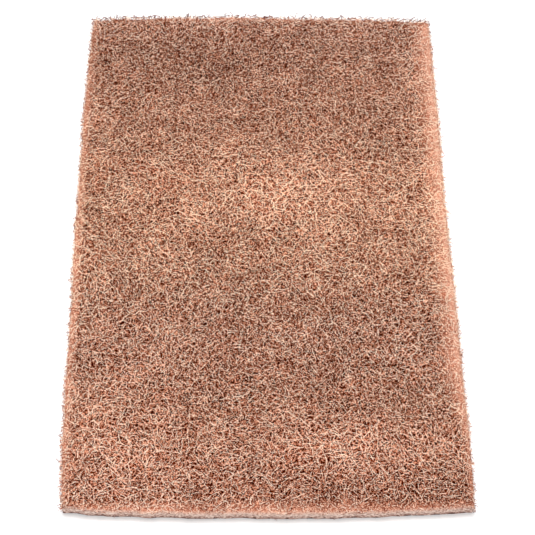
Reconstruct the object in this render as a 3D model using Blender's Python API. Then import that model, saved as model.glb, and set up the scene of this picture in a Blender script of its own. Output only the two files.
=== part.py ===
"""Abrasive hand pad: one lofty web of tangled, crimped fibres, bonded with resin.

The pad is die-cut to a rectangle. It lies flat, its long side along Y, with the origin under its
middle on the surface that it rests on. The web is a single body. Its top is a tangle of crimped
strands that cross each other, with an open pit in each gap between them. Its cut sides are crushed
at the rim and frayed into fibre ends; three of them bulge a little and the right one is drawn in.
Its underside is flat.
"""

import math
import random

import bmesh
import bpy
from mathutils import Vector, kdtree, noise
from mathutils.geometry import delaunay_2d_cdt

# Size between the straight lines through the corners, in metres; the bulges and fibre ends add to it
PAD_WIDTH = 0.1505
PAD_LENGTH = 0.2265
PAD_THICKNESS = 0.007

# The strands of the top, each a chain of steps that curls slowly and waves from side to side
STRANDS_ACROSS = 15
STRANDS_ALONG = 22
STRAND_STEPS = 8
STRAND_LENGTH = 0.022
CURL_RADIUS = 0.016
CRIMP_LENGTH = 0.011
CRIMP_TURN = 0.75
STRAND_SINK = 0.0006
CROSSING_RISE = 0.00025

# The pits, one in the middle of each gap between the strands
PIT_TRIES = 9000
MOST_PITS = 1500
PIT_CLEARANCE = 0.0009
PIT_SPACING = 0.0026
PIT_DEPTH = 0.0028
PIT_REACH = 0.0026

# The slow swell of the loft
SWELL_SPREAD = 0.024
SWELL_DEPTH = 0.0006

# The die-cut sides
RIM_STEPS_ACROSS = 56
RIM_STEPS_ALONG = 84
RIM_ROWS = 2
RIM_MARGIN = 0.0016
CRUSH_WIDTH = 0.0045
CRUSH_DEPTH = 0.0010
FRAY_SPACING = 0.0018
FRAY_DEPTH = 0.0009
EDGE_WAVE = 0.0005
EDGE_WAVE_LENGTH = 0.045
LEFT_BULGE = 0.0013
RIGHT_BULGE = -0.0005
FRONT_BULGE = 0.0016
BACK_BULGE = 0.0013
CORNER_CUT = 0.0006
CORNER_SHARPNESS = 12
RIM_TOLERANCE = 0.000001

SEED = 11
SWELL_SLICE = 83.0
WAVE_SLICE = 7.0
FRAY_SLICE = 29.0
MERGE_DISTANCE = 0.00005

COLLECTION_NAME = "abrasive_hand_pad"
PAD_NAME = "fibre_pad"
FIBRE_COLOUR = (0.429, 0.216, 0.141, 1.0)
FIBRE_ROUGHNESS = 0.8


def clear_scene():
    for thing in list(bpy.data.objects):
        bpy.data.objects.remove(thing)


def make_collection(name):
    collection = bpy.data.collections.new(name)
    bpy.context.scene.collection.children.link(collection)
    return collection


def bonded_fibre():
    """Resin-bonded copper-tan fibre with a dull, gritty surface."""
    material = bpy.data.materials.new("bonded_fibre")
    material.use_nodes = True
    shader = material.node_tree.nodes["Principled BSDF"]
    shader.inputs["Base Color"].default_value = FIBRE_COLOUR
    shader.inputs["Roughness"].default_value = FIBRE_ROUGHNESS
    shader.inputs["Metallic"].default_value = 0.0
    return material


def scattered(draw, across, along):
    """One random place in each cell of a grid over the pad: even, but not in rows."""
    for column in range(across):
        for row in range(along):
            x = PAD_WIDTH * ((column + draw.random()) / across - 0.5)
            y = PAD_LENGTH * ((row + draw.random()) / along - 0.5)
            yield Vector((x, y))


def inside_rim(place):
    return abs(place.x) < PAD_WIDTH / 2 - RIM_MARGIN and abs(place.y) < PAD_LENGTH / 2 - RIM_MARGIN


def strand_path(draw, middle):
    """The steps of one crimped strand, laid both ways from its middle."""
    step = STRAND_LENGTH / STRAND_STEPS
    heading = draw.uniform(0, math.tau)
    curl = draw.uniform(-1, 1) / CURL_RADIUS
    phase = draw.uniform(0, math.tau)
    place = middle.copy()
    path = []
    for k in range(STRAND_STEPS + 1):
        path.append(place.copy())
        along = k * step
        turn = heading + curl * along + CRIMP_TURN * math.sin(phase + math.tau * along / CRIMP_LENGTH)
        place += step * Vector((math.cos(turn), math.sin(turn)))
    mean = sum(path, Vector((0, 0))) / len(path)
    return [point - mean + middle for point in path]


def lay_strands(draw):
    """All strand points inside the rim with their depths, and the links along each strand."""
    points, depths, links = [], [], []
    for middle in scattered(draw, STRANDS_ACROSS, STRANDS_ALONG):
        depth = STRAND_SINK * draw.random()
        linked = False
        for point in strand_path(draw, middle):
            if not inside_rim(point):
                linked = False
                continue
            if linked:
                links.append((len(points) - 1, len(points)))
            points.append(point)
            depths.append(depth)
            linked = True
    return points, depths, links


def tree_of(points):
    tree = kdtree.KDTree(len(points))
    for index, point in enumerate(points):
        tree.insert((point.x, point.y, 0), index)
    tree.balance()
    return tree


def lay_pits(draw, strands):
    """The bottoms of the pits, widest gaps first, each deeper where its gap is wider."""
    tries = []
    for _ in range(PIT_TRIES):
        place = Vector((PAD_WIDTH * (draw.random() - 0.5), PAD_LENGTH * (draw.random() - 0.5)))
        gap = strands.find((place.x, place.y, 0))[2]
        if inside_rim(place) and gap > PIT_CLEARANCE:
            tries.append((gap, place))
    tries.sort(key=lambda found: found[0], reverse=True)
    points, depths = [], []
    for gap, place in tries:
        if len(points) < MOST_PITS and all((place - other).length > PIT_SPACING for other in points):
            points.append(place)
            depths.append(PIT_DEPTH * min(1.0, gap / PIT_REACH))
    return points, depths


def rim_loop():
    """The pad's straight outline, anticlockwise from its front left corner."""
    back_right = Vector((PAD_WIDTH / 2, PAD_LENGTH / 2))
    front_right = Vector((PAD_WIDTH / 2, -PAD_LENGTH / 2))
    corners = [-back_right, front_right, back_right, -front_right]
    loop = []
    for side, start in enumerate(corners):
        end = corners[(side + 1) % len(corners)]
        steps = RIM_STEPS_ALONG if side % 2 else RIM_STEPS_ACROSS
        loop += [start.lerp(end, k / steps) for k in range(steps)]
    return loop


def lay_top():
    """The top of the web as a sheet of triangles whose edges run along every strand."""
    draw = random.Random(SEED)
    rim = rim_loop()
    strand_points, strand_depths, strand_links = lay_strands(draw)
    strands = tree_of(strand_points)
    pit_points, pit_depths = lay_pits(draw, strands)
    first_strand = len(rim)
    links = [(k, (k + 1) % len(rim)) for k in range(len(rim))]
    links += [(a + first_strand, b + first_strand) for a, b in strand_links]
    depths = [0.0] * len(rim) + strand_depths + pit_depths
    places, _, faces, origins, _, _ = delaunay_2d_cdt(
        rim + strand_points + pit_points, links, [], 1, MERGE_DISTANCE
    )
    top = bmesh.new()
    for place, origin in zip(places, origins):
        if origin:
            depth = depths[origin[0]]
        else:
            below = strands.find((place.x, place.y, 0))[1]
            depth = strand_depths[below] - CROSSING_RISE
        top.verts.new((place.x, place.y, PAD_THICKNESS - CROSSING_RISE - depth))
    top.verts.ensure_lookup_table()
    for face in faces:
        top.faces.new([top.verts[k] for k in face])
    return top


def add_sides(web):
    """The sides in rows below the rim of the top, and the flat underside."""
    rim = [edge for edge in web.edges if edge.is_boundary]
    for row in range(1, RIM_ROWS + 1):
        grown = bmesh.ops.extrude_edge_only(web, edges=rim)["geom"]
        for item in grown:
            if isinstance(item, bmesh.types.BMVert):
                item.co.z = PAD_THICKNESS * (1 - row / RIM_ROWS)
        rim = [item for item in grown if isinstance(item, bmesh.types.BMEdge) and item.is_boundary]
    bmesh.ops.edgeloop_fill(web, edges=rim)
    bmesh.ops.recalc_face_normals(web, faces=web.faces)


def top_drop(x, y):
    """How far the top lies below its full height: the loft's swell, and the die's crush."""
    place = Vector((x / SWELL_SPREAD, y / SWELL_SPREAD, SWELL_SLICE))
    swell = SWELL_DEPTH * (1 - noise.noise(place)) / 2
    to_rim = min(PAD_WIDTH / 2 - abs(x), PAD_LENGTH / 2 - abs(y))
    share = max(0.0, 1 - to_rim / CRUSH_WIDTH)
    return swell + CRUSH_DEPTH * share * share


def fray(x, y, z):
    """How far a point of a cut side stands out as a fibre end, or lies back beside one."""
    return FRAY_DEPTH * noise.noise(Vector((x, y, z + FRAY_SLICE)) / FRAY_SPACING)


def edge_shift(bulge, share, along, side):
    """How far a cut edge lies outside its straight line: its bulge and a slow wave."""
    wave = noise.noise(Vector((along / EDGE_WAVE_LENGTH, side, WAVE_SLICE)))
    return bulge * (1 - share * share) + EDGE_WAVE * wave


def shape_outline(vertex):
    """A vertex of the straight-sided web moved to the pad's real outline."""
    x, y, z = vertex.co
    across, along = x / (PAD_WIDTH / 2), y / (PAD_LENGTH / 2)
    corner = CORNER_CUT * abs(across * along) ** CORNER_SHARPNESS
    x_out = edge_shift(RIGHT_BULGE if x > 0 else LEFT_BULGE, along, y, 1 if x > 0 else 2)
    y_out = edge_shift(BACK_BULGE if y > 0 else FRONT_BULGE, across, x, 3 if y > 0 else 4)
    if abs(across) > 1 - RIM_TOLERANCE:
        x_out += fray(x, y, z)
    if abs(along) > 1 - RIM_TOLERANCE:
        y_out += fray(x, y, z)
    vertex.co.x += (x_out - corner) * across
    vertex.co.y += (y_out - corner) * along


def centre(web):
    """The web moved so that the origin is under the middle of its outline."""
    xs = [vertex.co.x for vertex in web.verts]
    ys = [vertex.co.y for vertex in web.verts]
    middle = Vector(((min(xs) + max(xs)) / 2, (min(ys) + max(ys)) / 2, 0))
    bmesh.ops.translate(web, vec=-middle, verts=web.verts)


def build_pad(collection, material):
    web = lay_top()
    for vertex in web.verts:
        vertex.co.z -= top_drop(vertex.co.x, vertex.co.y)
    add_sides(web)
    for vertex in web.verts:
        shape_outline(vertex)
    centre(web)
    mesh = bpy.data.meshes.new(PAD_NAME)
    web.to_mesh(mesh)
    web.free()
    mesh.materials.append(material)
    pad = bpy.data.objects.new(PAD_NAME, mesh)
    collection.objects.link(pad)
    return pad


def main():
    clear_scene()
    build_pad(make_collection(COLLECTION_NAME), bonded_fibre())


main()
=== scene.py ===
import math

import bmesh
import bpy
import numpy as np
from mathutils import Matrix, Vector, noise


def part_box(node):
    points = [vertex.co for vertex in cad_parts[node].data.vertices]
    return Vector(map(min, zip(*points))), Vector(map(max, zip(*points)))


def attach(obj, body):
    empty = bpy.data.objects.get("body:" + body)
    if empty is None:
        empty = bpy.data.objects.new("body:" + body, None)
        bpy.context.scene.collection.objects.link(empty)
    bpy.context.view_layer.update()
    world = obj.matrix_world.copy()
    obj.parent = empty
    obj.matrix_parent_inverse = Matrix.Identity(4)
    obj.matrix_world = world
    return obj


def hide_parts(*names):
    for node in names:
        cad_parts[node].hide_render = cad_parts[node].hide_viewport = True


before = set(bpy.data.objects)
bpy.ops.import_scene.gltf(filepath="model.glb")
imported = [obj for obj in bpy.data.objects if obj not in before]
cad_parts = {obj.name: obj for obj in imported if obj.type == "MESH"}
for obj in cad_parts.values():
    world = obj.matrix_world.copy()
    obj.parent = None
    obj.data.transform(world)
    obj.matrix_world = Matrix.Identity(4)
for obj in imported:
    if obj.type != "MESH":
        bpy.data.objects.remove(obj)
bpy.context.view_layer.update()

padNode = "fibre_pad"
bodyName = "root"
mm = 0.001


# Small helpers for node trees

def addNode(tree, kind, inputs=None, **settings):
    node = tree.nodes.new(kind)
    for name, value in settings.items():
        setattr(node, name, value)
    for name, value in (inputs or {}).items():
        if isinstance(value, bpy.types.NodeSocket):
            tree.links.new(value, node.inputs[name])
        else:
            node.inputs[name].default_value = value
    return node


def addMath(tree, operation, first, second=0.0):
    return addNode(tree, "ShaderNodeMath", {0: first, 1: second}, operation=operation).outputs[0]


def addVectorMath(tree, operation, first, second):
    other = "Scale" if operation == "SCALE" else 1
    node = addNode(tree, "ShaderNodeVectorMath", {0: first, other: second}, operation=operation)
    return node.outputs["Value" if operation == "DOT_PRODUCT" else "Vector"]


def addVector(tree, x=0.0, y=0.0, z=0.0):
    return addNode(tree, "ShaderNodeCombineXYZ", {"X": x, "Y": y, "Z": z}).outputs[0]


def addProduct(tree, first, second):
    return addMath(tree, "MULTIPLY", first, second)


# A value times a factor, plus a shift
def addScaled(tree, value, factor, shift):
    return addMath(tree, "ADD", addProduct(tree, value, factor), shift)


# A smooth noise from 0 to 1, with its middle value at 0.5
def addNoise(tree, place, scale, detail=0.0):
    node = addNode(tree, "ShaderNodeTexNoise", {"Vector": place, "Scale": scale, "Detail": detail})
    return node.outputs["Fac"]


def readShare(tree, name):
    return addNode(tree, "ShaderNodeAttribute", attribute_name=name).outputs["Fac"]


# 1 where the camera sees a thing straight, in a gloss or through glass, and 0 for the light that it gives
def addSeen(tree):
    seen = addNode(tree, "ShaderNodeLightPath").outputs
    shown = addMath(tree, "MAXIMUM", seen["Is Camera Ray"], seen["Is Glossy Ray"])
    return addMath(tree, "MAXIMUM", shown, seen["Is Transmission Ray"])


# An sRGB colour, 0 to 255, as the linear one that a shader takes
def tone(red, green, blue):
    return tuple(((c / 255 + 0.055) / 1.055) ** 2.4 for c in (red, green, blue)) + (1.0,)


# Small helpers for pieces

def finishMesh(name, draft):
    mesh = bpy.data.meshes.new(name)
    draft.to_mesh(mesh)
    draft.free()
    return mesh


def addPiece(name, mesh):
    piece = bpy.data.objects.new(name, mesh)
    bpy.context.scene.collection.objects.link(piece)
    return piece


# The outline that the solid was cut to, read from the ring of its underside

outlineSettings = {
    "highest": 0.01 * mm,  # points below this belong to the underside
    "smoothOver": 9,  # this many points, an odd number
}


def readOutline():
    ring = np.array([v.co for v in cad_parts[padNode].data.vertices])
    ring = ring[ring[:, 2] < outlineSettings["highest"]]
    toSide = np.abs(ring[:, :2]).max(axis=0) - np.abs(ring[:, :2])
    span = outlineSettings["smoothOver"]
    sides = {}
    for name, axis, sign in (("left", 0, -1), ("right", 0, 1), ("front", 1, -1), ("back", 1, 1)):
        picked = ring[(sign * ring[:, axis] > 0) & (toSide[:, axis] <= toSide[:, 1 - axis])]
        picked = picked[np.argsort(picked[:, 1 - axis])]
        padded = np.pad(picked[:, axis], span // 2, mode="edge")
        sides[name] = (picked[:, 1 - axis], np.convolve(padded, np.ones(span) / span, mode="valid"))
    return sides


outline = readOutline()
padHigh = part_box(padNode)[1]
padTop = padHigh.z


def edgeAt(side, place):
    return float(np.interp(place, *outline[side]))


# u and v run from -1 to 1 across the pad; the answer follows its real outline
def onPad(u, v, inset):
    x, y = u * padHigh.x, v * padHigh.y
    left, right = edgeAt("left", y) + inset["left"], edgeAt("right", y) - inset["right"]
    front, back = edgeAt("front", x) + inset["front"], edgeAt("back", x) - inset["back"]
    return (left + right) / 2 + u * (right - left) / 2, (front + back) / 2 + v * (back - front) / 2


# The slow shape of the face: its swell, and how the die pressed its rim
loft = {
    "swell": 0.45 * mm,
    "swellSpread": 26 * mm,
    "swellSlice": 0.3,
    "rimCrush": 0.9 * mm,
    "rimWidth": {"left": 5 * mm, "front": 6 * mm, "back": 4 * mm},
    "rightRimFrom": (-88 * mm, -60 * mm),  # the right rim widens between these two places along Y
    "rightRimWidth": (3 * mm, 10 * mm),
}


# 0 inside the pad, rising to 1 at its rim
def rimShare(x, y):
    width = loft["rimWidth"]
    rightWidth = float(np.interp(y, loft["rightRimFrom"], loft["rightRimWidth"]))
    across = (padHigh.x - abs(x)) / (rightWidth if x > 0 else width["left"])
    along = (padHigh.y - abs(y)) / width["back" if y > 0 else "front"]
    return min(1.0, max(0.0, 1 - min(across, along)))


# The height of the web's face: a slow swell inside, pressed down where the die cut it
def faceHeight(x, y):
    place = Vector((x, y, loft["swellSlice"])) / loft["swellSpread"]
    swell = loft["swell"] * (1 - noise.noise(place)) / 2
    return padTop - swell - loft["rimCrush"] * rimShare(x, y) ** 2


# The dense inside of the web, seen as the dark pits between the fibres; its dark tones are partly painted
# shade of the deep web

webSettings = {
    "cellsAcross": 132,
    "cellsAlong": 200,
    "sideRows": 6,
    "inset": {"left": 0.4 * mm, "right": -0.2 * mm, "front": -0.3 * mm, "back": 1.2 * mm},
    "faceDepth": 1.4 * mm,  # how far the body lies inside the pad's face
    "rimDepth": 0.5 * mm,
    "underDepth": 0.3 * mm,
    "tangleSpread": 1.2 * mm,
    "tangleSharpness": 2.2,
    "tangleDepth": 0.6 * mm,
    "underTangle": 0.25,  # these three are shares of the depth on the face
    "sideTangle": 0.5,
    "frontTangle": 0.12,
    "cutShareAtRim": 0.6,  # how much the front edge of the face has of the cut side's colour
}


# 0 in a pit and 1 on a ridge of the matted fibres
def tangle(x, y, z):
    place = Vector((x, y, z)) / webSettings["tangleSpread"]
    return 1 - min(1.0, webSettings["tangleSharpness"] * abs(noise.noise(place)))


# Cells across and along a sheet, as the places of its points, its quads and the ring of its rim
def sheetGrid(across, along, first=0):
    columns, rows = range(across + 1), range(along + 1)
    places = [(-1 + 2 * i / across, -1 + 2 * j / along) for j in rows for i in columns]

    def at(i, j):
        return first + j * (across + 1) + i

    quads = []
    for j in range(along):
        quads += [(at(i, j), at(i + 1, j), at(i + 1, j + 1), at(i, j + 1)) for i in range(across)]
    rim = [at(i, 0) for i in range(across)] + [at(across, j) for j in range(along)]
    rim += [at(i, along) for i in range(across, 0, -1)] + [at(0, j) for j in range(along, 0, -1)]
    return places, quads, rim


# A point of the web's shell: level 1 is its face, 0 its underside
def webPoint(u, v, level):
    given = webSettings
    x, y = onPad(u, v, given["inset"])
    depth = given["faceDepth"] + rimShare(x, y) * (given["rimDepth"] - given["faceDepth"])
    low, high = given["underDepth"], faceHeight(x, y) - depth
    z = low + level * (high - low)
    ridge = given["tangleDepth"] * (tangle(x, y, z) - 0.5)
    if level == 1:
        z += ridge
    elif level == 0:
        z -= ridge * given["underTangle"]
    if abs(u) == 1:
        x += math.copysign(ridge * given["sideTangle"], u)
    if abs(v) == 1:
        y += math.copysign(ridge * given["frontTangle" if v < 0 else "sideTangle"], v)
    return x, y, z


# How much a point of the shell shows the colour of the cut front
def cutShare(v, level):
    if v > -1:
        return 0.0
    return 1.0 if level < 1 else webSettings["cutShareAtRim"]


def addShare(mesh, name, values):
    mesh.attributes.new(name, "FLOAT", "POINT").data.foreach_set("value", values)


def makeWebBody(material):
    across, along = webSettings["cellsAcross"], webSettings["cellsAlong"]
    sideRows = webSettings["sideRows"]
    places, faces, upper = sheetGrid(across, along)
    points = [(u, v, 1) for u, v in places]
    rim = [places[k] for k in upper]
    size = len(rim)
    for row in range(1, sideRows):
        lower = list(range(len(points), len(points) + size))
        points += [(u, v, 1 - row / sideRows) for u, v in rim]
        faces += [(lower[k], lower[(k + 1) % size], upper[(k + 1) % size], upper[k]) for k in range(size)]
        upper = lower
    # The underside has half as many cells each way, so each of its rim edges meets two of the side's
    underPlaces, underFaces, underRim = sheetGrid(across // 2, along // 2, len(points))
    points += [(u, v, 0) for u, v in underPlaces]
    faces += [quad[::-1] for quad in underFaces]
    for k, here in enumerate(underRim):
        after = underRim[(k + 1) % len(underRim)]
        near, middle, far = upper[2 * k], upper[2 * k + 1], upper[(2 * k + 2) % size]
        faces += [(here, after, middle), (here, middle, near), (after, far, middle)]
    mesh = bpy.data.meshes.new("webBody")
    mesh.from_pydata([webPoint(*point) for point in points], [], faces)
    # The ridge share darkens the pits and lightens the ridges in the colour: painted shade and light
    addShare(mesh, "ridge", [tangle(*vertex.co) for vertex in mesh.vertices])
    addShare(mesh, "pressed", [rimShare(vertex.co.x, vertex.co.y) for vertex in mesh.vertices])
    addShare(mesh, "cutFace", [cutShare(v, level) for u, v, level in points])
    mesh.shade_smooth()
    mesh.materials.append(material)
    return addPiece("webBody", mesh)


# Crimped fibres, grown over a guide surface by Geometry Nodes

# What all fibres share; the rest of their sizes are the tree's inputs
growth = {
    "mostRoots": 3e6,  # for each square metre, far more than the spacing lets in
    "sliceSpread": 900.0,  # keeps the fibres' own slices of noise apart
    "livelyTurns": 17.0,  # draws each fibre's liveliness from its own number
    "noiseSwing": 3.2,  # the noise alone reaches only about a third of the swing
    "thinnest": 0.6,  # the thinnest strand, as a share of the thickness
    "thicknessSpread": 0.8,
    "strandSides": 3,
    "stubPoints": 2.5,  # a strand with fewer points than this is left out
    "rayHeight": 1.0,  # a ray that starts here and looks down finds the guide, or is past its outline
    "rayLength": 2.0,
}

# Each of a fibre's random values has its own step from the piece's seed
drawSteps = {"shade": 1, "sink": 2, "tilt": 3, "heading": 4, "length": 5}

fibreSizes = (
    "Spacing", "Fibre Length", "Length Spread", "Tilt", "Depth",
    "Crimp Length", "Crimp Swing", "Crimp Spread", "Crimp Lift", "Dive",
    "Thickness", "Palest", "Depth Shade", "End Shade", "Lowest", "Highest",
)


def addDraw(tree, given, name, low, high):
    seed = addMath(tree, "ADD", given["Seed"], drawSteps[name])
    return addNode(tree, "FunctionNodeRandomValue", {"Min": low, "Max": high, "Seed": seed}).outputs[1]


def addBoolean(tree, operation, first, second=False):
    return addNode(tree, "FunctionNodeBooleanMath", {0: first, 1: second}, operation=operation).outputs[0]


def storeNamed(tree, geometry, name, kind, value):
    node = addNode(tree, "GeometryNodeStoreNamedAttribute", {
        "Geometry": geometry, "Name": name}, data_type=kind, domain="POINT")
    tree.links.new(value, node.inputs["Value"])
    return node.outputs[0]


def readNamed(tree, name, kind="FLOAT"):
    return addNode(tree, "GeometryNodeInputNamedAttribute", {"Name": name}, data_type=kind).outputs[0]


def moveBy(tree, geometry, offset):
    return addNode(tree, "GeometryNodeSetPosition", {"Geometry": geometry, "Offset": offset}).outputs[0]


# Roots over the guide, each sunk to its own depth and darker the deeper it lies: painted shade of the web
# above it
def plantRoots(tree, given):
    roots = addNode(tree, "GeometryNodeDistributePointsOnFaces", {
        "Mesh": given["Guide"], "Distance Min": given["Spacing"], "Density Max": growth["mostRoots"],
        "Seed": given["Seed"]}, distribute_method="POISSON").outputs
    shade = addDraw(tree, given, "shade", 0.0, 1.0)
    points = storeNamed(tree, roots["Points"], "fibreShade", "FLOAT", shade)
    points = storeNamed(tree, points, "fibreUp", "FLOAT_VECTOR", roots["Normal"])
    sinkShare = addDraw(tree, given, "sink", 0.0, 1.0)
    toneLoss = addProduct(tree, sinkShare, given["Depth Shade"])
    ownTone = addMath(tree, "SUBTRACT", given["Palest"], toneLoss)
    points = storeNamed(tree, points, "fibreTone", "FLOAT", ownTone)
    sink = addProduct(tree, addProduct(tree, sinkShare, given["Depth"]), -1.0)
    return roots, moveBy(tree, points, addVectorMath(tree, "SCALE", roots["Normal"], sink))


# A straight fibre on each root, turned any way along the guide
def layFibres(tree, given, roots, points):
    step = addMath(tree, "DIVIDE", given["Fibre Length"], given["Steps"])
    line = addNode(tree, "GeometryNodeMeshLine", {
        "Count": addMath(tree, "ADD", given["Steps"], 1.0), "Offset": addVector(tree, step),
        "Start Location": addVector(tree, addProduct(tree, given["Fibre Length"], -0.5))}).outputs[0]
    index = addNode(tree, "GeometryNodeInputIndex").outputs[0]
    fromMiddle = addScaled(tree, addMath(tree, "DIVIDE", index, given["Steps"]), 2.0, -1.0)
    line = storeNamed(tree, line, "endShare", "FLOAT", addProduct(tree, fromMiddle, fromMiddle))

    tilt = addProduct(tree, addDraw(tree, given, "tilt", -1.0, 1.0), given["Tilt"])
    heading = addDraw(tree, given, "heading", 0.0, math.tau)
    turn = addNode(tree, "FunctionNodeEulerToRotation", {"Euler": addVector(tree, 0.0, tilt, heading)})
    rotation = addNode(tree, "FunctionNodeRotateRotation", {
        "Rotation": roots["Rotation"], "Rotate By": turn.outputs[0]}, rotation_space="LOCAL")
    shortest = addMath(tree, "SUBTRACT", 1.0, given["Length Spread"])
    longest = addMath(tree, "ADD", 1.0, given["Length Spread"])
    stretch = addDraw(tree, given, "length", shortest, longest)
    laid = addNode(tree, "GeometryNodeInstanceOnPoints", {
        "Points": points, "Instance": line, "Rotation": rotation.outputs[0],
        "Scale": addVector(tree, stretch, 1.0, 1.0)})
    return addNode(tree, "GeometryNodeRealizeInstances", {"Geometry": laid.outputs[0]}).outputs[0]


# The crimp: every fibre wanders through its own slice of noise, less along the guide's normal
def crimpFibres(tree, given, fibres):
    own = readNamed(tree, "fibreShade")
    crimp = addNode(tree, "ShaderNodeTexNoise", {
        "Vector": addNode(tree, "GeometryNodeInputPosition").outputs[0],
        "W": addProduct(tree, own, growth["sliceSpread"]),
        "Scale": addMath(tree, "DIVIDE", 1.0, given["Crimp Length"]), "Detail": 0.0}, noise_dimensions="4D")
    wander = addVectorMath(tree, "SUBTRACT", crimp.outputs["Color"], (0.5, 0.5, 0.5))
    drawn = addMath(tree, "FRACT", addProduct(tree, own, growth["livelyTurns"]))
    lively = addMath(tree, "SUBTRACT", 1.0, addProduct(tree, drawn, given["Crimp Spread"]))
    swing = addProduct(tree, addProduct(tree, given["Crimp Swing"], lively), growth["noiseSwing"])
    wander = addVectorMath(tree, "SCALE", wander, swing)
    up = readNamed(tree, "fibreUp", "FLOAT_VECTOR")
    rise = addVectorMath(tree, "DOT_PRODUCT", wander, up)
    liftShare = addMath(tree, "DIVIDE", given["Crimp Lift"], given["Crimp Swing"])
    held = addMath(tree, "SUBTRACT", liftShare, 1.0)
    settle = addVectorMath(tree, "SCALE", up, addProduct(tree, rise, held))
    bent = addVectorMath(tree, "ADD", wander, settle)

    # The ends dip into the web and are a little darker there, as painted shade
    ends = readNamed(tree, "endShare")
    dive = addProduct(tree, addProduct(tree, ends, given["Dive"]), -1.0)
    bent = addVectorMath(tree, "ADD", bent, addVectorMath(tree, "SCALE", up, dive))
    paintedEndShade = addProduct(tree, ends, given["End Shade"])
    endTone = addMath(tree, "SUBTRACT", readNamed(tree, "fibreTone"), paintedEndShade)
    return storeNamed(tree, moveBy(tree, fibres, bent), "fibreTone", "FLOAT", endTone)


# Cut off what hangs past the outline, or lies too near the floor or too far above the face
def cutFibres(tree, given, fibres):
    place = addNode(tree, "GeometryNodeInputPosition").outputs[0]
    apart = addNode(tree, "ShaderNodeSeparateXYZ", {"Vector": place}).outputs
    above = addVector(tree, apart["X"], apart["Y"], growth["rayHeight"])
    ray = addNode(tree, "GeometryNodeRaycast", {
        "Target Geometry": given["Guide"], "Source Position": above, "Ray Direction": (0, 0, -1),
        "Ray Length": growth["rayLength"]})
    missed = addBoolean(tree, "NOT", ray.outputs["Is Hit"])
    past = addBoolean(tree, "AND", missed, given["Cut At Outline"])
    under = addMath(tree, "LESS_THAN", apart["Z"], given["Lowest"])
    over = addMath(tree, "GREATER_THAN", apart["Z"], given["Highest"])
    gone = addBoolean(tree, "OR", past, addBoolean(tree, "OR", under, over))
    return addNode(tree, "GeometryNodeDeleteGeometry", {
        "Geometry": fibres, "Selection": gone}, domain="POINT", mode="ALL").outputs[0]


# Each strand gets its thickness, and remembers where its faces are for its texture map
def thickenFibres(tree, given, fibres):
    strands = addNode(tree, "GeometryNodeMeshToCurve", {"Mesh": fibres}).outputs[0]
    pointCount = addNode(tree, "GeometryNodeSplineLength").outputs["Point Count"]
    stub = addMath(tree, "LESS_THAN", pointCount, growth["stubPoints"])
    strands = addNode(tree, "GeometryNodeDeleteGeometry", {
        "Geometry": strands, "Selection": stub}, domain="CURVE").outputs[0]
    which = addNode(tree, "GeometryNodeCurveOfPoint").outputs
    strands = storeNamed(tree, strands, "strandNumber", "INT", which["Curve Index"])
    strands = storeNamed(tree, strands, "ringNumber", "INT", which["Index in Curve"])
    ring = addNode(tree, "GeometryNodeCurvePrimitiveCircle", {
        "Resolution": growth["strandSides"], "Radius": 1.0}).outputs[0]
    ring = storeNamed(tree, ring, "sideNumber", "INT", addNode(tree, "GeometryNodeInputIndex").outputs[0])
    uneven = addScaled(tree, readNamed(tree, "fibreShade"), growth["thicknessSpread"], growth["thinnest"])
    half = addProduct(tree, addProduct(tree, given["Thickness"], 0.5), uneven)
    tubes = addNode(tree, "GeometryNodeCurveToMesh", {
        "Curve": strands, "Profile Curve": ring, "Scale": half, "Fill Caps": True}).outputs[0]
    return addNode(tree, "GeometryNodeSetShadeSmooth", {
        "Geometry": tubes, "Shade Smooth": True}).outputs[0]


def makeFibreTree():
    tree = bpy.data.node_groups.new("crimpedFibres", "GeometryNodeTree")
    kinds = {"Guide": "Geometry", **dict.fromkeys(fibreSizes, "Float"), "Steps": "Int", "Seed": "Int",
             "Cut At Outline": "Bool", "Fibre Material": "Material"}
    for name, kind in kinds.items():
        tree.interface.new_socket(name, in_out="INPUT", socket_type="NodeSocket" + kind)
    tree.interface.new_socket("Fibres", in_out="OUTPUT", socket_type="NodeSocketGeometry")
    given = tree.nodes.new("NodeGroupInput").outputs
    roots, points = plantRoots(tree, given)
    fibres = layFibres(tree, given, roots, points)
    fibres = crimpFibres(tree, given, fibres)
    fibres = cutFibres(tree, given, fibres)
    tubes = thickenFibres(tree, given, fibres)
    tubes = addNode(tree, "GeometryNodeRealizeInstances", {"Geometry": tubes}).outputs[0]
    tubes = addNode(tree, "GeometryNodeSetMaterial", {
        "Geometry": tubes, "Material": given["Fibre Material"]}).outputs[0]
    addNode(tree, "NodeGroupOutput", {"Fibres": tubes})
    return tree


mapSettings = {
    "cellLength": 4,  # a cell is this many times as long as it is high
    "cellMargin": 0.1,
}


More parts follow.
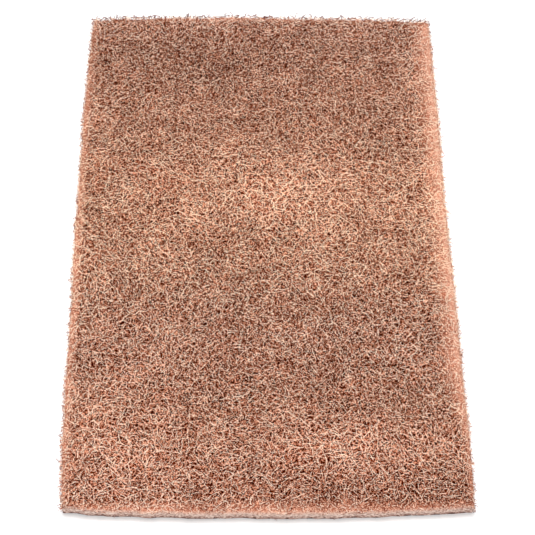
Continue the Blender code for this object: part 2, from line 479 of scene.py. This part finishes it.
# A texture map with a cell for each strand: U runs along it and V goes round it
def giveMap(mesh):
    def numbers(name):
        found = np.empty(len(mesh.vertices), np.int32)
        mesh.attributes[name].data.foreach_get("value", found)
        return found

    strand, ring, side = numbers("strandNumber"), numbers("ringNumber"), numbers("sideNumber")
    corners = np.empty(len(mesh.loops), np.int32)
    mesh.loops.foreach_get("vertex_index", corners)
    sizes = np.empty(len(mesh.polygons), np.int32)
    mesh.polygons.foreach_get("loop_total", sizes)
    firsts = np.empty(len(mesh.polygons), np.int32)
    mesh.polygons.foreach_get("loop_start", firsts)
    polygon = np.repeat(np.arange(len(sizes)), sizes)
    ringAt, sideAt = ring[corners].astype(float), side[corners].astype(float)
    # A tube's faces have four corners, and the caps at its ends have one for each of its sides
    sides = growth["strandSides"]
    isCap = np.repeat(sizes == sides, sizes)
    lowSide, highSide = np.minimum.reduceat(sideAt, firsts), np.maximum.reduceat(sideAt, firsts)
    wraps = ((highSide - lowSide) > 1)[polygon] & ~isCap
    sideAt[wraps & (sideAt == 0)] = sides
    ringAt[isCap & (sideAt == 1)] += 0.5
    count = strand.max() + 1
    columns = math.ceil(math.sqrt(count / mapSettings["cellLength"]))
    rows = math.ceil(count / columns)
    rings = np.zeros(count)
    np.maximum.at(rings, strand, ring)
    cell = strand[corners]
    margin = mapSettings["cellMargin"]
    reach = 1 - 2 * margin
    u = (cell % columns + margin + reach * ringAt / (rings[cell] + 0.5)) / columns
    v = (cell // columns + margin + reach * sideAt / sides) / rows
    layer = mesh.uv_layers.new(name="OFBake", do_init=False)
    layer.uv.foreach_set("vector", np.stack([u, v], 1).astype(np.float32).ravel())
    for name in ("strandNumber", "ringNumber", "sideNumber", "fibreUp", "endShare"):
        mesh.attributes.remove(mesh.attributes[name])


# The fibres of one piece, grown over a guide that is then thrown away
def growFibres(name, makeGuide, settings, tree, material):
    host = addPiece(name + "Guide", makeGuide(name + "Guide", settings))
    grower = host.modifiers.new("fibres", "NODES")
    grower.node_group = tree
    values = {**fibreSettings, **settings, "Fibre Material": material}
    for socket in tree.interface.items_tree:
        if socket.name in values:
            grower[socket.identifier] = values[socket.name]
    graph = bpy.context.evaluated_depsgraph_get()
    mesh = bpy.data.meshes.new_from_object(host.evaluated_get(graph), depsgraph=graph)
    mesh.name = name
    host.modifiers.remove(grower)
    bpy.data.objects.remove(host)
    giveMap(mesh)
    triangles = sum(len(p.vertices) - 2 for p in mesh.polygons)
    print(name, triangles, "triangles")
    return addPiece(name, mesh)


# Guides: the face, the underside and the cut sides

guideSettings = {
    "cellsAcross": 48,
    "cellsAlong": 72,
    "wallSteps": 72,
    "sheetInset": {"left": 0.0, "right": -0.8 * mm, "front": -0.5 * mm, "back": 0.0},
}


# A sheet over the whole pad, at the height that a function gives
def draftSheet(height):
    sheet = bmesh.new()
    across, along = guideSettings["cellsAcross"], guideSettings["cellsAlong"]
    bmesh.ops.create_grid(sheet, x_segments=across, y_segments=along, size=1.0)
    for vertex in sheet.verts:
        x, y = onPad(vertex.co.x, vertex.co.y, guideSettings["sheetInset"])
        vertex.co = (x, y, height(x, y))
    return sheet


def faceGuide(name, layer):
    return finishMesh(name, draftSheet(lambda x, y: faceHeight(x, y) - layer["sunk"]))


# The same sheet near the floor, facing down
def underGuide(name, layer):
    sheet = draftSheet(lambda *place: layer["height"])
    bmesh.ops.reverse_faces(sheet, faces=sheet.faces)
    return finishMesh(name, sheet)


# A wall along some of the cut sides, from the layer's "low" up to its "drop" under the face
def wallGuide(name, layer):
    wall = bmesh.new()
    steps = guideSettings["wallSteps"]
    runs = {
        "front": lambda t: (t, -1),
        "right": lambda t: (1, t),
        "back": lambda t: (-t, 1),
        "left": lambda t: (-1, -t),
    }
    for side in layer["sides"]:
        bottom, top = [], []
        for k in range(steps + 1):
            x, y = onPad(*runs[side](-1 + 2 * k / steps), layer["inset"])
            bottom.append(wall.verts.new((x, y, layer["low"])))
            top.append(wall.verts.new((x, y, faceHeight(x, y) - layer["drop"])))
        for k in range(steps):
            wall.faces.new((bottom[k], bottom[k + 1], top[k + 1], top[k]))
    return finishMesh(name, wall)


# The pieces of fibres, each with what differs from fibreSettings

fibreSettings = {
    "Fibre Length": 14 * mm,
    "Length Spread": 0.35,  # how much shorter or longer a fibre can be
    "Steps": 28,
    "Tilt": 0.08,  # the most that a fibre leaves the guide, in radians
    "Crimp Length": 2.7 * mm,
    "Crimp Swing": 2.0 * mm,
    "Crimp Spread": 0.7,  # how much less the calmest fibre swings
    "Crimp Lift": 0.3 * mm,  # the swing along the guide's normal
    "Dive": 0.3 * mm,  # how far the ends dip into the web
    "Thickness": 0.32 * mm,
    "Palest": 0.75,  # the tone of the outermost fibres
    # The deeper fibres' darkening is painted shade of the web above them
    "Depth Shade": 0.0,  # how much darker the deepest ones are
    # The ends' darkening is painted shade where they dip into the web
    "End Shade": 0.0,  # how much darker the ends are
    "Lowest": 0.2 * mm,
    "Highest": padTop + 0.35 * mm,
    "Cut At Outline": True,
}

# The short curls of the face; the fibres of the cut sides start from these settings too
curlSettings = {
    "Spacing": 1.53 * mm,
    "Fibre Length": 2.6 * mm,
    "Length Spread": 0.6,
    "Steps": 3,
    "Crimp Length": 1.2 * mm,
    "Crimp Swing": 0.8 * mm,
    "Crimp Spread": 0.5,
    "Crimp Lift": 0.25 * mm,
    "Depth": 0.4 * mm,
    "Dive": 0.35 * mm,
    "Thickness": 0.17 * mm,
    "Depth Shade": 0.1,
    "End Shade": 0.2,
}

# The layers of the face: the longer fibres, then the curls from the deepest up; a deeper layer has a lower
# "Palest", as painted shade of the web above it
# A layer's guide lies as far under the face as its "sunk" says
faceLayers = {
    "faceFibresLong": {
        "Spacing": 3.4 * mm,
        "Fibre Length": 5 * mm,
        "Steps": 7,
        "Crimp Length": 2.2 * mm,
        "Crimp Swing": 1.3 * mm,
        "Thickness": 0.22 * mm,
        "Depth": 0.5 * mm,
        "Seed": 11,
        "Palest": 0.8,
        "Depth Shade": 0.3,
        "sunk": 0.15 * mm,
    },
    "faceCurlsDeep": {**curlSettings, "Seed": 22, "Palest": 0.4, "sunk": 0.7 * mm},
    "faceCurlsLow": {**curlSettings, "Seed": 99, "Palest": 0.65, "sunk": 0.45 * mm},
    "faceCurlsMiddle": {**curlSettings, "Seed": 33, "Palest": 1.0, "sunk": 0.25 * mm},
    "faceCurlsTop": {
        **curlSettings,
        "Spacing": 1.95 * mm,
        "Fibre Length": 3.9 * mm,
        "Steps": 5,
        "Crimp Length": 1.5 * mm,
        "Crimp Swing": 1.0 * mm,
        "Thickness": 0.155 * mm,
        "Seed": 44,
        "Palest": 1.12,
        "sunk": 0.0,
    },
}

undersideSettings = {
    "Spacing": 13 * mm,
    "Depth": 0.5 * mm,
    "Seed": 55,
    "Steps": 20,
    "Crimp Lift": 0.2 * mm,
    "height": 0.35 * mm,
}

cutInset = {"left": 0.0, "right": -0.5 * mm, "front": -0.1 * mm, "back": 0.0}

# Short fibres all over the right, back and left cut sides
edgeSettings = {
    **curlSettings,
    "Length Spread": 0.5,
    "Spacing": 0.85 * mm,
    "Depth": 0.3 * mm,
    "Seed": 66,
    "Fibre Length": 2.4 * mm,
    "Tilt": 1.4,
    "Crimp Lift": 0.5 * mm,
    "Dive": 0.0,
    "Thickness": 0.2 * mm,
    "Palest": 0.85,
    "Depth Shade": 0.2,
    "Cut At Outline": False,
    "sides": ("right", "back", "left"),
    "inset": cutInset,
    "low": 0.5 * mm,
    "drop": 0.4 * mm,
}

# Longer dark ends that stand out of the back side
backSettings = {
    **curlSettings,
    "Spacing": 1.0 * mm,
    "Depth": 0.3 * mm,
    "Seed": 88,
    "Fibre Length": 3.4 * mm,
    "Steps": 6,
    "Crimp Length": 1.6 * mm,
    "Crimp Swing": 1.5 * mm,
    "Tilt": 1.0,
    "Crimp Lift": 0.8 * mm,
    "Dive": 0.0,
    "Thickness": 0.3 * mm,
    "Palest": -0.05,
    "Depth Shade": 0.2,
    "Cut At Outline": False,
    "sides": ("back",),
    "inset": {**cutInset, "back": -0.1 * mm},
    "low": 0.8 * mm,
    "drop": 0.3 * mm,
}

# The same ends, shorter and thinner, on the right and left sides
sideSettings = {
    **backSettings,
    "Spacing": 1.3 * mm,
    "Seed": 91,
    "Fibre Length": 2.8 * mm,
    "Steps": 4,
    "Crimp Swing": 1.0 * mm,
    "Tilt": 1.4,
    "Thickness": 0.24 * mm,
    "Palest": 0.3,
    "sides": ("right", "left"),
    "inset": cutInset,
    "drop": 0.6 * mm,
}

# Cut ends on the front side, pale as its pressed face, and partly painted light on the side turned to the
# front lamp
frontSettings = {
    **curlSettings,
    "Spacing": 0.85 * mm,
    "Depth": 0.2 * mm,
    "Seed": 77,
    "Fibre Length": 1.8 * mm,
    "Tilt": 0.7,
    "Crimp Lift": 0.4 * mm,
    "Dive": 0.0,
    "Palest": 0.75,
    "Depth Shade": 0.2,
    "Cut At Outline": False,
    "sides": ("front",),
    "inset": cutInset,
    "low": 0.5 * mm,
    "drop": 0.4 * mm,
}


# Materials

tones = {
    # The fibres' darker tones, given to deep layers and dipping ends, are partly painted shade
    "shade": tone(112, 38, 17),
    "copper": tone(218, 143, 112),
    "peach": tone(246, 197, 166),
    "cream": tone(253, 228, 205),
    # The web's pit and matted tones are partly painted shade of the deep web
    "pit": tone(42, 6, 1),
    "matted": tone(141, 58, 28),
    "ridge": tone(215, 151, 120),
    "pressedLow": tone(164, 102, 78),
    "pressed": tone(214, 168, 146),
    # The cut front's palest tone is partly a painted highlight where the cut ends catch the light
    "cutLow": tone(168, 132, 120),
    "cut": tone(210, 177, 163),
    "cutHigh": tone(244, 220, 206),
    "speck": tone(92, 54, 42),
}

# Where the web is paler or darker than elsewhere: the middle and the reach of each patch in mm,
# across and along, and its change
patches = {
    "darkBack": ((0, 106), (120, 26), -0.15),
    "paleBackRim": ((0, 112), (120, 9), 0.12),
    "darkBackLeft": ((-30, 88), (40, 14), -0.16),
    "darkBackMiddle": ((0, 52), (120, 15), -0.08),
    "paleMiddle": ((14, 22), (48, 24), 0.27),
    "darkBand": ((22, -42), (36, 15), -0.06),
    "darkBandFront": ((0, -63), (60, 11), -0.06),
    "paleFront": ((25, -90), (46, 11), 0.22),
    "paleFrontLeft": ((-56, -84), (24, 28), 0.2),
    "darkFrontRight": ((48, -105), (26, 8), -0.14),
    "paleLeft": ((-48, 0), (22, 50), 0.07),
    "paleRightRim": ((79, 25), (14, 85), 0.26),
    "paleLeftRim": ((-77, -30), (6, 90), 0.1),
}

# Where the die pressed the fibres together, so that more pale ones show
rimPatches = {
    "front": ((0, -116), (90, 4), -0.22),
    "right": ((79, 25), (9, 85), 0.42),
    "left": ((-77, -30), (5, 90), 0.15),
    "back": ((0, 115), (90, 3), 0.25),
}

# Where the web is a little more green or blue than elsewhere, which makes it less red
greenPatches = {
    "back": ((0, 110), (300, 20), 0.02),
    "middle": ((0, -28), (300, 40), 0.045),
}
bluePatches = {
    "back": ((0, 112), (300, 20), 0.055),
    "backMiddle": ((0, 28), (300, 34), -0.04),
    "middle": ((0, -42), (300, 28), 0.06),
    "front": ((0, -110), (300, 22), 0.03),
}

# Slow clouds over the whole web: their scale and how much they change it
clouds = ((60.0, 0.22), (130.0, 0.25), (230.0, 0.3))


# A dull material, with no gloss of its own
def newMaterial(name, roughness):
    material = bpy.data.materials.new(name)
    material.use_nodes = True
    shader = material.node_tree.nodes["Principled BSDF"]
    shader.inputs["Roughness"].default_value = roughness
    shader.inputs["Specular IOR Level"].default_value = 0.0
    return material, material.node_tree, shader


def addBump(tree, shader, height, strength, depth):
    bump = addNode(tree, "ShaderNodeBump", {"Height": height, "Strength": strength, "Distance": depth})
    tree.links.new(bump.outputs[0], shader.inputs["Normal"])


def toneRamp(tree, factor, stops):
    ramp = addNode(tree, "ShaderNodeValToRGB", {"Fac": factor})
    elements = ramp.color_ramp.elements
    while len(elements) < len(stops):
        elements.new(0.5)
    for element, (position, colour) in zip(elements, stops):
        element.position = position
        element.color = colour
    return ramp.outputs["Color"]


# One soft-edged factor for the whole pad, 1 where the web is as usual
def addPatches(tree, place, patchSet, cloudSet=()):
    total = 1.0
    for middle, reach, change in patchSet.values():
        perReach = (1 / (reach[0] * mm), 1 / (reach[1] * mm), 0)
        shift = (-middle[0] / reach[0], -middle[1] / reach[1], 0)
        away = addNode(tree, "ShaderNodeVectorMath", {
            0: place, 1: perReach, 2: shift}, operation="MULTIPLY_ADD").outputs[0]
        square = addVectorMath(tree, "DOT_PRODUCT", away, away)
        fade = addMath(tree, "EXPONENT", addProduct(tree, square, -1.0))
        total = addScaled(tree, fade, change, total)
    for scale, change in cloudSet:
        cloud = addMath(tree, "SUBTRACT", addNoise(tree, place, scale), 0.5)
        total = addScaled(tree, cloud, change, total)
    return total


fibreLook = {
    "crimpedStops": (
        (0.18, tones["shade"]), (0.43, tones["copper"]), (0.66, tones["peach"]), (0.9, tones["cream"])),
    "cutStops": ((0.1, tones["cutLow"]), (0.5, tones["cut"]), (0.8, tones["cutHigh"])),
    "alongScale": 1600.0,
    "alongChange": 4.2,  # how much the tone changes along a fibre
    "ownChange": 0.3,  # how much it changes from one fibre to the next
    "toneLoss": 0.17,
    "patchChange": 0.8,
    # This cap keeps the painted shade of the deep layers
    "mostPale": 0.22,  # no fibre gets paler than its layer by more than this
    "patchShade": 0.5,
    "gritScale": 4200.0,
    "gritDetail": 2.0,
    "gritStrength": 0.3,
    "gritDepth": 0.05 * mm,
    "roughness": 0.7,
}


def fibreMaterial(name, stops):
    look = fibreLook
    material, tree, shader = newMaterial(name, look["roughness"])
    place = addNode(tree, "ShaderNodeTexCoord").outputs["Object"]
    patch = addPatches(tree, place, patches, clouds)

    # The tone changes along each fibre, less so in a pale patch, and from one fibre to the next
    along = addMath(tree, "SUBTRACT", addNoise(tree, place, look["alongScale"]), 0.5)
    lively = addProduct(tree, addMath(tree, "SUBTRACT", 2.0, patch), look["alongChange"])
    own = addProduct(tree, readShare(tree, "fibreShade"), look["ownChange"])
    change = addMath(tree, "ADD", addProduct(tree, along, lively), own)
    layerTone = readShare(tree, "fibreTone")
    mixed = addMath(tree, "ADD", layerTone, addMath(tree, "SUBTRACT", change, look["toneLoss"]))

    # Pale patches and rims show more pale fibres
    paler = addMath(tree, "SUBTRACT", patch, 1.0)
    mixed = addMath(tree, "ADD", mixed, addProduct(tree, paler, look["patchChange"]))
    rim = addPatches(tree, place, rimPatches)
    mixed = addMath(tree, "ADD", mixed, addMath(tree, "SUBTRACT", rim, 1.0))
    mixed = addMath(tree, "MINIMUM", mixed, addMath(tree, "ADD", layerTone, look["mostPale"]))
    colour = toneRamp(tree, mixed, stops)

    shade = addScaled(tree, patch, look["patchShade"], 1 - look["patchShade"])
    colour = addVectorMath(tree, "SCALE", colour, shade)
    green, blue = addPatches(tree, place, greenPatches), addPatches(tree, place, bluePatches)
    colour = addVectorMath(tree, "MULTIPLY", colour, addVector(tree, 1.0, green, blue))
    tree.links.new(colour, shader.inputs["Base Color"])

    grit = addNoise(tree, place, look["gritScale"], look["gritDetail"])
    addBump(tree, shader, grit, look["gritStrength"], look["gritDepth"])
    return material


def mixTones(tree, share, first, second):
    # Inputs 6 and 7 and output 2 are the node's colour sockets
    node = addNode(tree, "ShaderNodeMix", {"Factor": share, 6: first, 7: second}, data_type="RGBA")
    return node.outputs[2]


cutLook = {
    "stops": ((0.0, tones["cutLow"]), (0.5, tones["cut"]), (1.0, tones["cutHigh"])),
    "grainScale": 1100.0,
    "grainChange": 2.4,
    "toneLoss": 1.2,
    "speckScale": 700.0,
    "speckAbove": 0.6,  # a speck is where its noise is higher than this
    "speckHeight": 1.8 * mm,  # and the place is lower than this
}


# The cut front: pale where the die pressed it shut and partly painted light, paler towards the top as a
# painted highlight where the cut ends catch the light, mauve below, with dark specks along its foot
def cutTone(tree, place):
    height = addNode(tree, "ShaderNodeSeparateXYZ", {"Vector": place}).outputs["Z"]
    grain = addNoise(tree, place, cutLook["grainScale"])
    grain = addProduct(tree, grain, cutLook["grainChange"])
    share = addMath(tree, "ADD", addMath(tree, "DIVIDE", height, padTop), grain)
    pale = toneRamp(tree, addMath(tree, "SUBTRACT", share, cutLook["toneLoss"]), cutLook["stops"])
    spots = addNoise(tree, place, cutLook["speckScale"])
    dark = addMath(tree, "GREATER_THAN", spots, cutLook["speckAbove"])
    low = addMath(tree, "LESS_THAN", height, cutLook["speckHeight"])
    return mixTones(tree, addProduct(tree, dark, low), pale, tones["speck"])


webLook = {
    # Thin winding lines, each where a noise crosses its middle value
    "lines": (
        {"offset": 0.0, "scale": 1080.0, "width": 0.11, "height": 1.0},
        {"offset": 5.0, "scale": 1300.0, "width": 0.10, "height": 0.4},
    ),
    # Between the lines the near-black pit tone is painted shade deep in the web, and the matted tone partly
    # so
    "stops": ((0.18, tones["pit"]), (0.45, tones["matted"]), (0.75, tones["ridge"])),
    "pressedStops": ((0.4, tones["pressedLow"]), (0.85, tones["pressed"])),
    "pressedLoss": 0.7,  # how much the die takes off the lines' height
    "pressedFill": 0.6,  # how much it fills the gaps between them
    "patchChange": 0.3,
    # Painted shade in the relief's pits and painted light on its ridges
    "paintedPitShade": 0.8,  # how bright a pit is
    "paintedReliefShade": 0.3,  # how much brighter a ridge is
    "patchShade": 0.7,
    "lineStrength": 0.6,
    "lineDepth": 0.25 * mm,
    "roughness": 0.9,
}


# The height of the highest line at each place, from 0 between the lines to 1
def addLines(tree, place):
    height = 0.0
    for line in webLook["lines"]:
        moved = addVectorMath(tree, "ADD", place, (line["offset"], 0, 0))
        away = addMath(tree, "SUBTRACT", addNoise(tree, moved, line["scale"]), 0.5)
        drawn = addNode(tree, "ShaderNodeMapRange", {
            "Value": addMath(tree, "ABSOLUTE", away), "From Min": 0.0, "From Max": line["width"],
            "To Min": line["height"], "To Max": 0.0}, interpolation_type="SMOOTHSTEP")
        height = addMath(tree, "MAXIMUM", drawn.outputs["Result"], height)
    return height


def webMaterial():
    look = webLook
    material, tree, shader = newMaterial("mattedWeb", look["roughness"])
    place = addNode(tree, "ShaderNodeTexCoord").outputs["Object"]
    height = addLines(tree, place)
    pressed, patch = readShare(tree, "pressed"), addPatches(tree, place, patches, clouds)

    # Where the die pressed the web, its lines are lower and its gaps are filled
    loose = addMath(tree, "SUBTRACT", 1.0, addProduct(tree, pressed, look["pressedLoss"]))
    fill = addProduct(tree, pressed, look["pressedFill"])
    filled = addMath(tree, "ADD", addProduct(tree, height, loose), fill)
    paler = addMath(tree, "SUBTRACT", patch, 1.0)
    filled = addMath(tree, "ADD", filled, addProduct(tree, paler, look["patchChange"]))

    colour = toneRamp(tree, filled, look["stops"])
    # The relief's pits darker and its ridges lighter: painted shade and light
    paintedReliefShade = addScaled(tree, readShare(tree, "ridge"), look["paintedReliefShade"], look["paintedPitShade"])
    colour = addVectorMath(tree, "SCALE", colour, paintedReliefShade)
    patchShade = addScaled(tree, patch, look["patchShade"], 1 - look["patchShade"])
    colour = addVectorMath(tree, "SCALE", colour, patchShade)
    colour = mixTones(tree, pressed, colour, toneRamp(tree, filled, look["pressedStops"]))
    colour = mixTones(tree, readShare(tree, "cutFace"), colour, cutTone(tree, place))
    tree.links.new(colour, shader.inputs["Base Color"])
    addBump(tree, shader, height, look["lineStrength"], look["lineDepth"])
    return material


# Camera, light and ground

# In metres and degrees, with the lens and the sensor in mm
cameraSettings = {
    "place": (-0.0154, -0.2525, 0.4415),
    "turn": (28.73, -1.79, -0.84),
    "lens": 83.81,
    "sensor": 36.0,
}


def addCamera():
    data = bpy.data.cameras.new("camera")
    data.lens, data.sensor_width = cameraSettings["lens"], cameraSettings["sensor"]
    camera = bpy.data.objects.new("camera", data)
    camera.location = cameraSettings["place"]
    camera.rotation_euler = [math.radians(angle) for angle in cameraSettings["turn"]]
    bpy.context.scene.collection.objects.link(camera)
    bpy.context.scene.camera = camera


lights = {
    "overheadBox": {"place": (-0.12, 0.27, 1.1), "size": 0.6, "power": 15.5},
    "frontBox": {"place": (0.3, -1.0, 0.7), "size": 0.8, "power": 4.0},
}


# Each light faces the pad
def addLights():
    for name, settings in lights.items():
        data = bpy.data.lights.new(name, "AREA")
        data.size, data.energy = settings["size"], settings["power"]
        light = bpy.data.objects.new(name, data)
        light.location = settings["place"]
        light.rotation_euler = (-Vector(settings["place"])).to_track_quat("-Z", "Y").to_euler()
        bpy.context.scene.collection.objects.link(light)


white = (1, 1, 1, 1)
backdrop = {"light": 0.43, "shown": 1.0}


# The backdrop shows as white, and gives less light than that
def addWorld():
    world = bpy.data.worlds.new("studio")
    world.use_nodes = True
    bpy.context.scene.world = world
    tree = world.node_tree
    light = tree.nodes["Background"]
    light.inputs["Color"].default_value = white
    light.inputs["Strength"].default_value = backdrop["light"]
    plain = addNode(tree, "ShaderNodeBackground", {"Color": white, "Strength": backdrop["shown"]})
    mix = addNode(tree, "ShaderNodeMixShader", {0: addSeen(tree), 1: light.outputs[0], 2: plain.outputs[0]})
    tree.links.new(mix.outputs[0], tree.nodes["World Output"].inputs["Surface"])


floorSettings = {
    "reach": 0.5,  # from the middle to each side
    "colour": (0.8, 0.8, 0.8, 1),
    "roughness": 1.0,
    "lift": 0.25,  # lifts what shows of it to white, and leaves the pad's shadow
}


def addFloor():
    floor = bmesh.new()
    bmesh.ops.create_grid(floor, x_segments=1, y_segments=1, size=floorSettings["reach"])
    mesh = finishMesh("floor", floor)
    material, tree, shader = newMaterial("paleFloor", floorSettings["roughness"])
    shader.inputs["Base Color"].default_value = floorSettings["colour"]
    lift = addNode(tree, "ShaderNodeEmission", {"Color": white, "Strength": floorSettings["lift"]})
    both = addNode(tree, "ShaderNodeAddShader", {0: shader.outputs[0], 1: lift.outputs[0]})
    mix = addNode(tree, "ShaderNodeMixShader", {0: addSeen(tree), 1: shader.outputs[0], 2: both.outputs[0]})
    tree.links.new(mix.outputs[0], tree.nodes["Material Output"].inputs["Surface"])
    mesh.materials.append(material)
    addPiece("floor", mesh)


# Making

addCamera()
addLights()
addWorld()
addFloor()
print("camera, light and floor are in place")

web = makeWebBody(webMaterial())
print("web body made")

fibreTree = makeFibreTree()
crimpedFibre = fibreMaterial("crimpedFibre", fibreLook["crimpedStops"])
cutFibre = fibreMaterial("cutFibre", fibreLook["cutStops"])
fibrePlan = [(name, faceGuide, layer, crimpedFibre) for name, layer in faceLayers.items()] + [
    ("undersideFibres", underGuide, undersideSettings, crimpedFibre),
    ("edgeFibres", wallGuide, edgeSettings, crimpedFibre),
    ("backFringe", wallGuide, backSettings, crimpedFibre),
    ("sideFringe", wallGuide, sideSettings, crimpedFibre),
    ("frontFibres", wallGuide, frontSettings, cutFibre),
]
fibrePieces = []
for name, makeGuide, settings, material in fibrePlan:
    fibrePieces.append(growFibres(name, makeGuide, settings, fibreTree, material))
print("fibres grown")

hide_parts(padNode)
for piece in [web] + fibrePieces:
    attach(piece, bodyName)

bpy.context.scene.view_settings.view_transform = "Standard"
